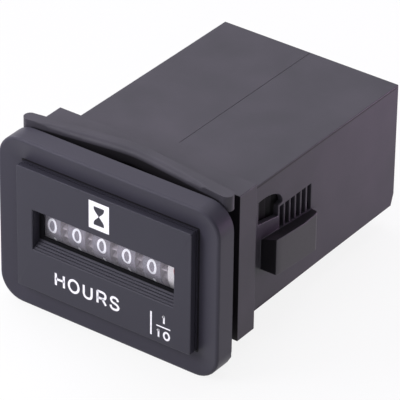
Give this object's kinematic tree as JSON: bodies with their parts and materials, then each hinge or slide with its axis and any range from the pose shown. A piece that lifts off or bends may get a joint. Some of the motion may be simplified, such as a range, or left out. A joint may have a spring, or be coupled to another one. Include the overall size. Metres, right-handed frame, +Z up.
{
  "type": "panel hour meter",
  "caption": "Panel-mounted running-time counter with a rectangular bezel, number wheels behind a window and a slide-on clamp sleeve with bowed springs.",
  "frame": {"origin": "centre of the bezel's back face, where the panel sits", "axes": "+Y back through the panel, +Z up, +X to the right seen from the front"},
  "size_m": [0.0452, 0.0667, 0.0331],
  "materials": {
    "case_plastic": "black moulded plastic, fine satin",
    "face_plastic": "black moulded plastic, satin",
    "clear_window": "clear polished plastic",
    "sleeve_plastic": "black moulded plastic, matte",
    "black_wheel": "black moulded plastic with white figures",
    "white_wheel": "white moulded plastic with red figures",
    "pinion_plastic": "natural acetal",
    "steel": "ground steel",
    "frame_plastic": "grey moulded plastic",
    "brass_gear": "cut brass",
    "magnet": "sintered magnet",
    "bobbin_plastic": "moulded plastic",
    "copper_wire": "enamelled copper wire",
    "board": "glass-fibre laminate",
    "chip_black": "moulded epoxy",
    "capacitor_sleeve": "shrunk plastic sleeve",
    "tinned_brass": "tinned brass"
  },
  "bodies": {
    "meter": {"bezel_case": "case_plastic", "face_cover": "face_plastic", "window_lens": "clear_window", "rear_cover": "case_plastic", "wheel_shaft": "steel", "pinion_shaft": "steel", "counter_frame": "frame_plastic", "idler_stud": "steel", "movement_plate": "frame_plastic", "stator": "steel", "coil_core": "steel", "bobbin": "bobbin_plastic", "winding": "copper_wire", "circuit_board": "board", "chip": "chip_black", "crystal": "steel", "capacitor": "capacitor_sleeve", "terminal_left": "tinned_brass", "terminal_right": "tinned_brass"},
    "clamp": {"clamp_sleeve": "sleeve_plastic"},
    "tenths_wheel": {"wheel_6": "white_wheel"},
    "units_wheel": {"wheel_5": "black_wheel"},
    "tens_wheel": {"wheel_4": "black_wheel"},
    "hundreds_wheel": {"wheel_3": "black_wheel"},
    "thousands_wheel": {"wheel_2": "black_wheel"},
    "ten_thousands_wheel": {"wheel_1": "black_wheel"},
    "units_pinion": {"pinion_5": "pinion_plastic"},
    "tens_pinion": {"pinion_4": "pinion_plastic"},
    "hundreds_pinion": {"pinion_3": "pinion_plastic"},
    "thousands_pinion": {"pinion_2": "pinion_plastic"},
    "ten_thousands_pinion": {"pinion_1": "pinion_plastic"},
    "idler": {"idler_gear": "brass_gear"},
    "drive": {"drive_arbor": "brass_gear"},
    "rotor": {"rotor_arbor": "steel", "rotor_magnet": "magnet"}
  },
  "joints": [
    {"name": "clamp_slide", "type": "slide", "parent": "meter", "child": "clamp", "axis": [0, 1, 0], "range_m": [0, 0.06]},
    {"name": "tenths_turn", "type": "hinge", "parent": "meter", "child": "tenths_wheel", "pos_m": [0, 0.004, 0], "axis": [1, 0, 0], "continuous": true},
    {"name": "units_turn", "type": "hinge", "parent": "meter", "child": "units_wheel", "pos_m": [0, 0.004, 0], "axis": [1, 0, 0], "continuous": true},
    {"name": "tens_turn", "type": "hinge", "parent": "meter", "child": "tens_wheel", "pos_m": [0, 0.004, 0], "axis": [1, 0, 0], "continuous": true},
    {"name": "hundreds_turn", "type": "hinge", "parent": "meter", "child": "hundreds_wheel", "pos_m": [0, 0.004, 0], "axis": [1, 0, 0], "continuous": true},
    {"name": "thousands_turn", "type": "hinge", "parent": "meter", "child": "thousands_wheel", "pos_m": [0, 0.004, 0], "axis": [1, 0, 0], "continuous": true},
    {"name": "ten_thousands_turn", "type": "hinge", "parent": "meter", "child": "ten_thousands_wheel", "pos_m": [0, 0.004, 0], "axis": [1, 0, 0], "continuous": true},
    {"name": "units_pinion_turn", "type": "hinge", "parent": "meter", "child": "units_pinion", "pos_m": [0, 0.00815, -0.00564], "axis": [1, 0, 0], "continuous": true},
    {"name": "tens_pinion_turn", "type": "hinge", "parent": "meter", "child": "tens_pinion", "pos_m": [0, 0.00815, -0.00564], "axis": [1, 0, 0], "continuous": true},
    {"name": "hundreds_pinion_turn", "type": "hinge", "parent": "meter", "child": "hundreds_pinion", "pos_m": [0, 0.00815, -0.00564], "axis": [1, 0, 0], "continuous": true},
    {"name": "thousands_pinion_turn", "type": "hinge", "parent": "meter", "child": "thousands_pinion", "pos_m": [0, 0.00815, -0.00564], "axis": [1, 0, 0], "continuous": true},
    {"name": "ten_thousands_pinion_turn", "type": "hinge", "parent": "meter", "child": "ten_thousands_pinion", "pos_m": [0, 0.00815, -0.00564], "axis": [1, 0, 0], "continuous": true},
    {"name": "idler_turn", "type": "hinge", "parent": "meter", "child": "idler", "pos_m": [0, 0.012, 0], "axis": [1, 0, 0], "continuous": true},
    {"name": "drive_turn", "type": "hinge", "parent": "meter", "child": "drive", "pos_m": [0, 0.0155, 0], "axis": [1, 0, 0], "continuous": true},
    {"name": "rotor_turn", "type": "hinge", "parent": "meter", "child": "rotor", "pos_m": [0, 0.0215, 0], "axis": [1, 0, 0], "continuous": true}
  ],
  "couplings": [
    {"joint": "units_turn", "follows": "tenths_turn", "ratio": 0.1},
    {"joint": "tens_turn", "follows": "tenths_turn", "ratio": 0.01},
    {"joint": "hundreds_turn", "follows": "tenths_turn", "ratio": 0.001},
    {"joint": "thousands_turn", "follows": "tenths_turn", "ratio": 0.0001},
    {"joint": "ten_thousands_turn", "follows": "tenths_turn", "ratio": 0.00001},
    {"joint": "units_pinion_turn", "follows": "tenths_turn", "ratio": -0.25},
    {"joint": "tens_pinion_turn", "follows": "tenths_turn", "ratio": -0.025},
    {"joint": "hundreds_pinion_turn", "follows": "tenths_turn", "ratio": -0.0025},
    {"joint": "thousands_pinion_turn", "follows": "tenths_turn", "ratio": -0.00025},
    {"joint": "ten_thousands_pinion_turn", "follows": "tenths_turn", "ratio": -0.000025},
    {"joint": "idler_turn", "follows": "tenths_turn", "ratio": -3},
    {"joint": "drive_turn", "follows": "tenths_turn", "ratio": 4},
    {"joint": "rotor_turn", "follows": "tenths_turn", "ratio": -20}
  ]
}
